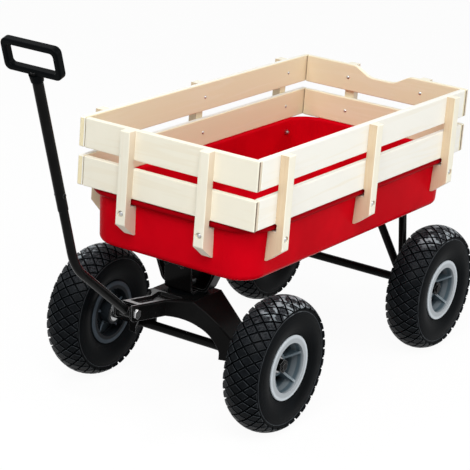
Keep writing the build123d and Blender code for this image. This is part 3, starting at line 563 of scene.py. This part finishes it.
def tread_strip(tyre, radius, rubbers):
    """A flat strip of raised diamond blocks, as long as the tyre is round, with the blocks' tops at Y 0."""
    pitch = math.tau * radius / tyre.blocks_round
    arc = 2 * tyre.crown_radius * math.asin(tyre.tread_width / 2 / tyre.crown_radius)
    columns = tyre.blocks_round + 1
    bpy.ops.object.select_all(action="DESELECT")
    bpy.ops.mesh.primitive_grid_add(x_subdivisions=columns, y_subdivisions=tyre.blocks_across, size=1)
    strip = bpy.context.object
    strip.scale = (columns * pitch, arc, 1)
    strip.rotation_euler = (-math.pi / 2, 0, 0)
    strip.location = (0, -tyre.tread_depth, 0)
    bpy.ops.object.transform_apply()
    for finish in rubbers:
        strip.data.materials.append(finish)
    bpy.ops.object.mode_set(mode="EDIT")
    bpy.ops.mesh.poke()

    def square(edge):
        run = edge.verts[1].co - edge.verts[0].co
        return len(edge.link_faces) == 2 and min(abs(run.x), abs(run.z)) < pitch / 100

    select(strip, "EDGE", square)
    bpy.ops.mesh.dissolve_edges(use_verts=False)
    start = -columns * pitch / 2
    half_block = pitch / 4

    def spare(face):
        place = face.calc_center_median().x - start
        return not half_block < place < tyre.blocks_round * pitch + half_block

    select(strip, "FACE", spare)
    bpy.ops.mesh.delete(type="FACE")
    select(strip, "FACE", lambda face: True)
    bpy.ops.mesh.inset(thickness=tyre.groove / 2, use_individual=True)
    bpy.ops.mesh.inset(thickness=tyre.block_draft, depth=tyre.tread_depth - tyre.block_edge, use_individual=True)
    bpy.ops.mesh.inset(thickness=tyre.block_edge, depth=tyre.block_edge, use_individual=True)
    top = -0.25 * tyre.block_edge
    edge_foot = -0.75 * tyre.block_edge
    paint(strip, BLOCK, lambda face: face.calc_center_median().y > top)
    # Painted highlight: the blocks' rounded upper edges take the lighter edge rubber.
    paint(strip, EDGE_HIGHLIGHT, lambda face: edge_foot < face.calc_center_median().y < top)
    bpy.ops.mesh.select_all(action="SELECT")
    bpy.ops.mesh.subdivide(number_cuts=1)
    bpy.ops.object.mode_set(mode="OBJECT")
    return strip


def side_wall(tyre, half_width):
    """Radius and half width of the loops from the tread down to the bead, with a ridge at the shoulder."""
    half_width -= tyre.belly_inset
    low = Vector((tyre.lip_radius - tyre.belly_radius, tyre.lip_width / 2 - half_width))
    bulge = -low.length_squared / (2 * low.y)
    centre = Vector((tyre.belly_radius, half_width - bulge))
    first = tyre.shoulder_angle
    last = math.asin(low.x / bulge)
    steps = 14
    arc = []
    for step in range(steps + 1):
        turn = first + (last - first) * step / steps
        arc.append(centre + bulge * Vector((math.sin(turn), math.cos(turn))))
    crest = arc[0] + Vector((tyre.ridge, tyre.ridge))
    outer_crest = crest + Vector((tyre.ridge, -tyre.ridge))
    return [outer_crest, crest] + arc + [Vector((tyre.seat_radius, tyre.lip_width / 2))]


def make_tyre(tyre, radius, half_width, rubbers):
    """One tyre about the Y axis at the origin: bent tread, then side walls drawn in to the bead and closed."""
    weld = 0.0001
    crease = math.radians(28)
    piece = tread_strip(tyre, radius, rubbers)
    bend(piece, "X", -2 * math.asin(tyre.tread_width / 2 / tyre.crown_radius))
    bend(piece, "Z", -math.tau * (tyre.blocks_round + 0.5) / tyre.blocks_round)
    piece.location = (0, radius, 0)
    bpy.ops.object.transform_apply()
    bpy.ops.object.mode_set(mode="EDIT")
    bpy.ops.mesh.select_all(action="SELECT")
    bpy.ops.mesh.remove_doubles(threshold=weld)
    select(piece, "EDGE", lambda edge: edge.is_boundary)
    mesh = bmesh.from_edit_mesh(piece.data)
    border_vertex = next(vertex for vertex in mesh.verts if vertex.select)
    loop = Vector((border_vertex.co.xy.length, abs(border_vertex.co.z)))
    profile = side_wall(tyre, half_width)
    for goal in profile:
        bpy.ops.mesh.extrude_edges_move()
        shrink = goal.x / loop.x
        bpy.ops.transform.resize(value=(shrink, shrink, goal.y / loop.y), center_override=(0, 0, 0))
        loop = goal
    bpy.ops.mesh.bridge_edge_loops()

    def on_ridge(face):
        middle = face.calc_center_median()
        crest = profile[1]
        return (Vector((middle.xy.length, abs(middle.z))) - crest).length < 1.1 * tyre.ridge

    # Painted highlight: the ridge on the side wall takes the lighter edge rubber.
    paint(piece, EDGE_HIGHLIGHT, on_ridge)
    bpy.ops.mesh.select_all(action="SELECT")
    bpy.ops.mesh.normals_make_consistent(inside=False)
    bpy.ops.object.mode_set(mode="OBJECT")
    piece.rotation_euler = (math.pi / 2, 0, 0)
    bpy.ops.object.transform_apply()
    bpy.ops.object.shade_smooth_by_angle(angle=crease)
    return piece


def copy_to(piece, name, place, turn):
    """A copy with its own mesh, turned about its axle and put at a place, with its object left at the origin."""
    twin = piece.copy()
    twin.data = piece.data.copy()
    twin.name = name
    twin.data.name = name
    bpy.context.collection.objects.link(twin)
    twin.data.transform(Matrix.Translation(place) @ Matrix.Rotation(turn, 4, "Y"))
    return twin


class WagonOperator:
    """What the wagon's operators share."""

    bl_options = {"REGISTER", "UNDO"}


class WAGON_OT_tray(WagonOperator, Operator):
    """Enamels the pressed tray"""

    bl_idname = "wagon.tray"
    bl_label = "Tray"

    def execute(self, context):
        roll_height = 0.014
        roll_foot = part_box("tray")[1][2] - roll_height
        dress(["tray"], red_enamel(context.scene.wagon_finish.enamel, roll_foot))
        return {"FINISHED"}


class WAGON_OT_rails(WagonOperator, Operator):
    """Gives the slats and stakes their pine"""

    bl_idname = "wagon.rails"
    bl_label = "Rails"

    def execute(self, context):
        tones = context.scene.wagon_finish
        streak, inside = tones.pine_streak, tones.pine_inner_shade
        long_boards = pine("pine_long_boards", X, X, tones.pine_face, streak, tones.long_end_grain, inside)
        forward = [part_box(f"slat_{end}_upper")[1][0] for end in ("front", "rear")]
        end_boards = pine("pine_end_boards", Y, Y, tones.pine_end_face, streak, tones.end_grain, inside,
                          tones.seam_shade_tone, forward)
        side_posts = pine("pine_side_posts", Z, X, tones.pine_end_face, streak, tones.pine_side, inside)
        end_posts = pine("pine_end_posts", Z, Y, tones.pine_end_face, streak, tones.pine_end_side, inside)
        dress(node_names("slat_left", "slat_right"), long_boards)
        dress(node_names("slat_front", "slat_rear"), end_boards)
        dress(node_names("stake_left", "stake_right"), side_posts)
        dress(node_names("stake_front", "stake_rear"), end_posts)
        return {"FINISHED"}


class WAGON_OT_tyres(WagonOperator, Operator):
    """Models one treaded tyre and puts a copy on each wheel"""

    bl_idname = "wagon.tyres"
    bl_label = "Tyres"

    def execute(self, context):
        tyre = context.scene.wagon_tyre
        tones = context.scene.wagon_finish
        low, high = (Vector(corner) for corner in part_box("tyre_front_left"))
        size = high - low
        rear = sum((Vector(corner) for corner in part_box("tyre_rear_left")), Vector()) / 2
        rubbers = [
            wall_rubber(tones.rubber, (low + high) / 2, rear),
            tread_rubber("block_rubber", tones.block_rubber, tones.tread_dusting_and_sheen, tones.glint_rubber, rear.y),
            tread_rubber("edge_highlight_rubber", tones.edge_highlight_rubber, tones.tread_dusting_and_sheen, tones.glint_rubber, rear.y),
        ]
        pattern = make_tyre(tyre, size.z / 2, size.y / 2, rubbers)
        degrees_apart = 37
        for number, corner in enumerate(CORNERS):
            low, high = (Vector(point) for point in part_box(f"tyre_{corner}"))
            turn = math.radians(degrees_apart * number)
            twin = copy_to(pattern, f"treaded_tyre_{corner}", (low + high) / 2, turn)
            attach(twin, f"wheel_{corner}")
            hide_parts(f"tyre_{corner}")
        bpy.data.objects.remove(pattern)
        return {"FINISHED"}


class WAGON_OT_rims(WagonOperator, Operator):
    """Finishes the rims, bearings and valves"""

    bl_idname = "wagon.rims"
    bl_label = "Rims"

    def execute(self, context):
        tones = context.scene.wagon_finish
        low, high = (Vector(corner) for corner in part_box("rim_front_left"))
        rear_low, rear_high = (Vector(corner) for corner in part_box("rim_rear_left"))
        half_width = (high.y - low.y) / 2
        middles = (low + high) / 2, (rear_low + rear_high) / 2
        plastic = rim_plastic(tones.rim_grey, tones.rim_hollow_shade, tones.rim_inner_shade, tones.rim_inner_shade_grey, *middles,
                              half_width)
        dress(node_names("rim_"), plastic)
        # Painted shade: the dark bearing tone stands in for the shade inside the hub.
        dress(node_names("bearings_"), plated_steel("bearing_steel", tones.bearing, roughness=0.22))
        valve_rubber = moulded_plastic("valve_rubber", tones.block_rubber, roughness=0.45, grain_scale=900.0)
        dress(node_names("valve_"), valve_rubber)
        return {"FINISHED"}


class WAGON_OT_gear(WagonOperator, Operator):
    """Coats the running gear and the handle's tubes"""

    bl_idname = "wagon.gear"
    bl_label = "Running gear"

    def execute(self, context):
        coated = node_names("bolster", "front_axle", "rear_axle", "handle_lower", "handle_upper", "handle_rivet",
                            "floor_")
        tones = context.scene.wagon_finish
        nose = Vector(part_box("steering_yoke")[1])
        dress(coated, powder_coat("powder_coat", tones.coat, tones.coat_highlight))
        dress(["steering_yoke"], powder_coat("yoke_coat", tones.coat, tones.coat_highlight, nose))
        return {"FINISHED"}


class WAGON_OT_grip(WagonOperator, Operator):
    """Finishes the moulded grip and the plain bearing ring"""

    bl_idname = "wagon.grip"
    bl_label = "Grip"

    def execute(self, context):
        tone = context.scene.wagon_finish.grip_black
        dress(["handle_grip"], moulded_plastic("grip_plastic", tone, roughness=0.40, grain_scale=800.0))
        dress(["turntable_ring"], moulded_plastic("bearing_nylon", tone, roughness=0.5, grain_scale=500.0))
        return {"FINISHED"}


class WAGON_OT_fasteners(WagonOperator, Operator):
    """Plates the bolts, nuts, screws, washers and pins"""

    bl_idname = "wagon.fasteners"
    bl_label = "Fasteners"

    def execute(self, context):
        tones = context.scene.wagon_finish
        dark = node_names("king_pin", "handle_pivot_nut")
        bright = node_names("stake_bolts", "stake_nuts", "slat_screws", "handle_pivot_bolt", "front_axle_washers",
                            "rear_axle_washers")
        dress(bright, plated_steel("zinc_plate", tones.zinc, roughness=0.24))
        dress(dark, plated_steel("black_zinc", tones.black_zinc, roughness=0.22))
        return {"FINISHED"}


def lamp(name, place, aim, size, power):
    """A square soft lamp that shines from a place towards a point."""
    light = bpy.data.lights.new(name, "AREA")
    light.size = size
    light.energy = power
    holder = bpy.data.objects.new(name, light)
    holder.location = place
    holder.rotation_euler = (Vector(aim) - Vector(place)).to_track_quat("-Z", "Y").to_euler()
    bpy.context.collection.objects.link(holder)


def seen_directly(finish):
    """1 for what the camera sees, straight or in a mirror or through glass, and otherwise 0."""
    names = ("Is Camera Ray", "Is Glossy Ray", "Is Transmission Ray")
    straight, mirrored, through = finish.outputs("ShaderNodeLightPath", names)
    return straight.larger(mirrored).larger(through)


def studio_world(sky):
    """Even light from all round, and plain white where the camera sees it."""
    finish = Finish("studio", "worlds")
    even = finish.node("ShaderNodeBackground", inputs={"Color": (1, 1, 1), "Strength": sky})
    white = finish.node("ShaderNodeBackground", inputs={"Color": (1, 1, 1), "Strength": 1.0})
    surface = finish.node("ShaderNodeMixShader", inputs={0: seen_directly(finish), 1: even, 2: white})
    finish.node("ShaderNodeOutputWorld", inputs={"Surface": surface})
    return finish.block


def floor_finish(tone, glow):
    """Pale matt floor that keeps its shadows and is lifted towards white for the camera."""
    finish = Finish("studio_floor")
    seen = seen_directly(finish)
    matt = finish.node("ShaderNodeBsdfDiffuse", inputs={"Color": seen.mix(tone, (1, 1, 1))})
    white = finish.node("ShaderNodeEmission", inputs={"Color": (1, 1, 1), "Strength": 1.0})
    return finish.done(finish.node("ShaderNodeMixShader", inputs={0: glow * seen, 1: matt, 2: white}))


class WAGON_OT_stage(WagonOperator, Operator):
    """Sets up the floor, the lamps and the camera"""

    bl_idname = "wagon.stage"
    bl_label = "Stage"

    def execute(self, context):
        stage = context.scene.wagon_stage
        scene = context.scene
        scene.view_settings.view_transform = "Standard"
        scene.world = studio_world(stage.sky)
        bpy.ops.object.select_all(action="DESELECT")
        bpy.ops.mesh.primitive_plane_add(size=FLOOR_SIZE)
        floor = context.object
        floor.name = "studio_floor"
        floor.data.materials.append(floor_finish(stage.floor, stage.floor_glow))
        back = Vector((
            math.sin(stage.azimuth) * math.cos(stage.elevation),
            -math.cos(stage.azimuth) * math.cos(stage.elevation),
            math.sin(stage.elevation),
        ))
        right = Vector((0, 0, 1)).cross(back).normalized()
        upward = back.cross(right)
        tilt = Matrix.Rotation(stage.roll, 3, back)
        axes = Matrix((tilt @ right, tilt @ upward, back)).transposed()
        lens = bpy.data.cameras.new("photo_camera")
        lens.sensor_width = SENSOR_WIDTH
        lens.lens = stage.lens
        lens.clip_end = VIEW_DEPTH
        camera = bpy.data.objects.new("photo_camera", lens)
        place = Vector(stage.target) + back * stage.distance
        camera.matrix_world = Matrix.Translation(place) @ axes.to_4x4()
        context.collection.objects.link(camera)
        scene.camera = camera
        aim = (0, 0, 0.3)
        lamp("key_lamp", (2.6, 1.2, 3.4), aim, size=2.6, power=stage.key)
        lamp("side_lamp", (-0.6, 3.2, 2.0), aim, size=2.4, power=stage.side)
        lamp("top_lamp", (0.3, -0.9, 3.0), aim, size=0.4, power=stage.top)
        return {"FINISHED"}


PIECES = (WAGON_OT_tray, WAGON_OT_rails, WAGON_OT_tyres, WAGON_OT_rims, WAGON_OT_gear, WAGON_OT_grip,
          WAGON_OT_fasteners, WAGON_OT_stage)
SETTINGS = {
    "wagon_tyre": WagonTyreSettings,
    "wagon_finish": WagonFinishSettings,
    "wagon_stage": WagonStageSettings,
}


class WAGON_PT_looks(Panel):
    """The wagon's pieces and settings in the sidebar"""

    bl_label = "Hand wagon"
    bl_idname = "WAGON_PT_looks"
    bl_space_type = "VIEW_3D"
    bl_region_type = "UI"
    bl_category = "Wagon"

    def draw(self, context):
        for piece in PIECES:
            self.layout.operator(piece.bl_idname)
        for name, group in SETTINGS.items():
            box = self.layout.box()
            for setting in group.__annotations__:
                box.prop(getattr(context.scene, name), setting)


def register():
    """Adds the settings, the operators and the panel."""
    for name, group in SETTINGS.items():
        bpy.utils.register_class(group)
        setattr(bpy.types.Scene, name, PointerProperty(type=group))
    for item in PIECES + (WAGON_PT_looks,):
        bpy.utils.register_class(item)


def unregister():
    """Takes the panel, the operators and the settings out again."""
    for item in (WAGON_PT_looks,) + PIECES[::-1]:
        bpy.utils.unregister_class(item)
    for name, group in SETTINGS.items():
        delattr(bpy.types.Scene, name)
        bpy.utils.unregister_class(group)


def main():
    """Registers the add-on and makes every piece."""
    register()
    for piece in PIECES:
        group, action = piece.bl_idname.split(".")
        getattr(getattr(bpy.ops, group), action)()


if __name__ == "__main__":
    main()
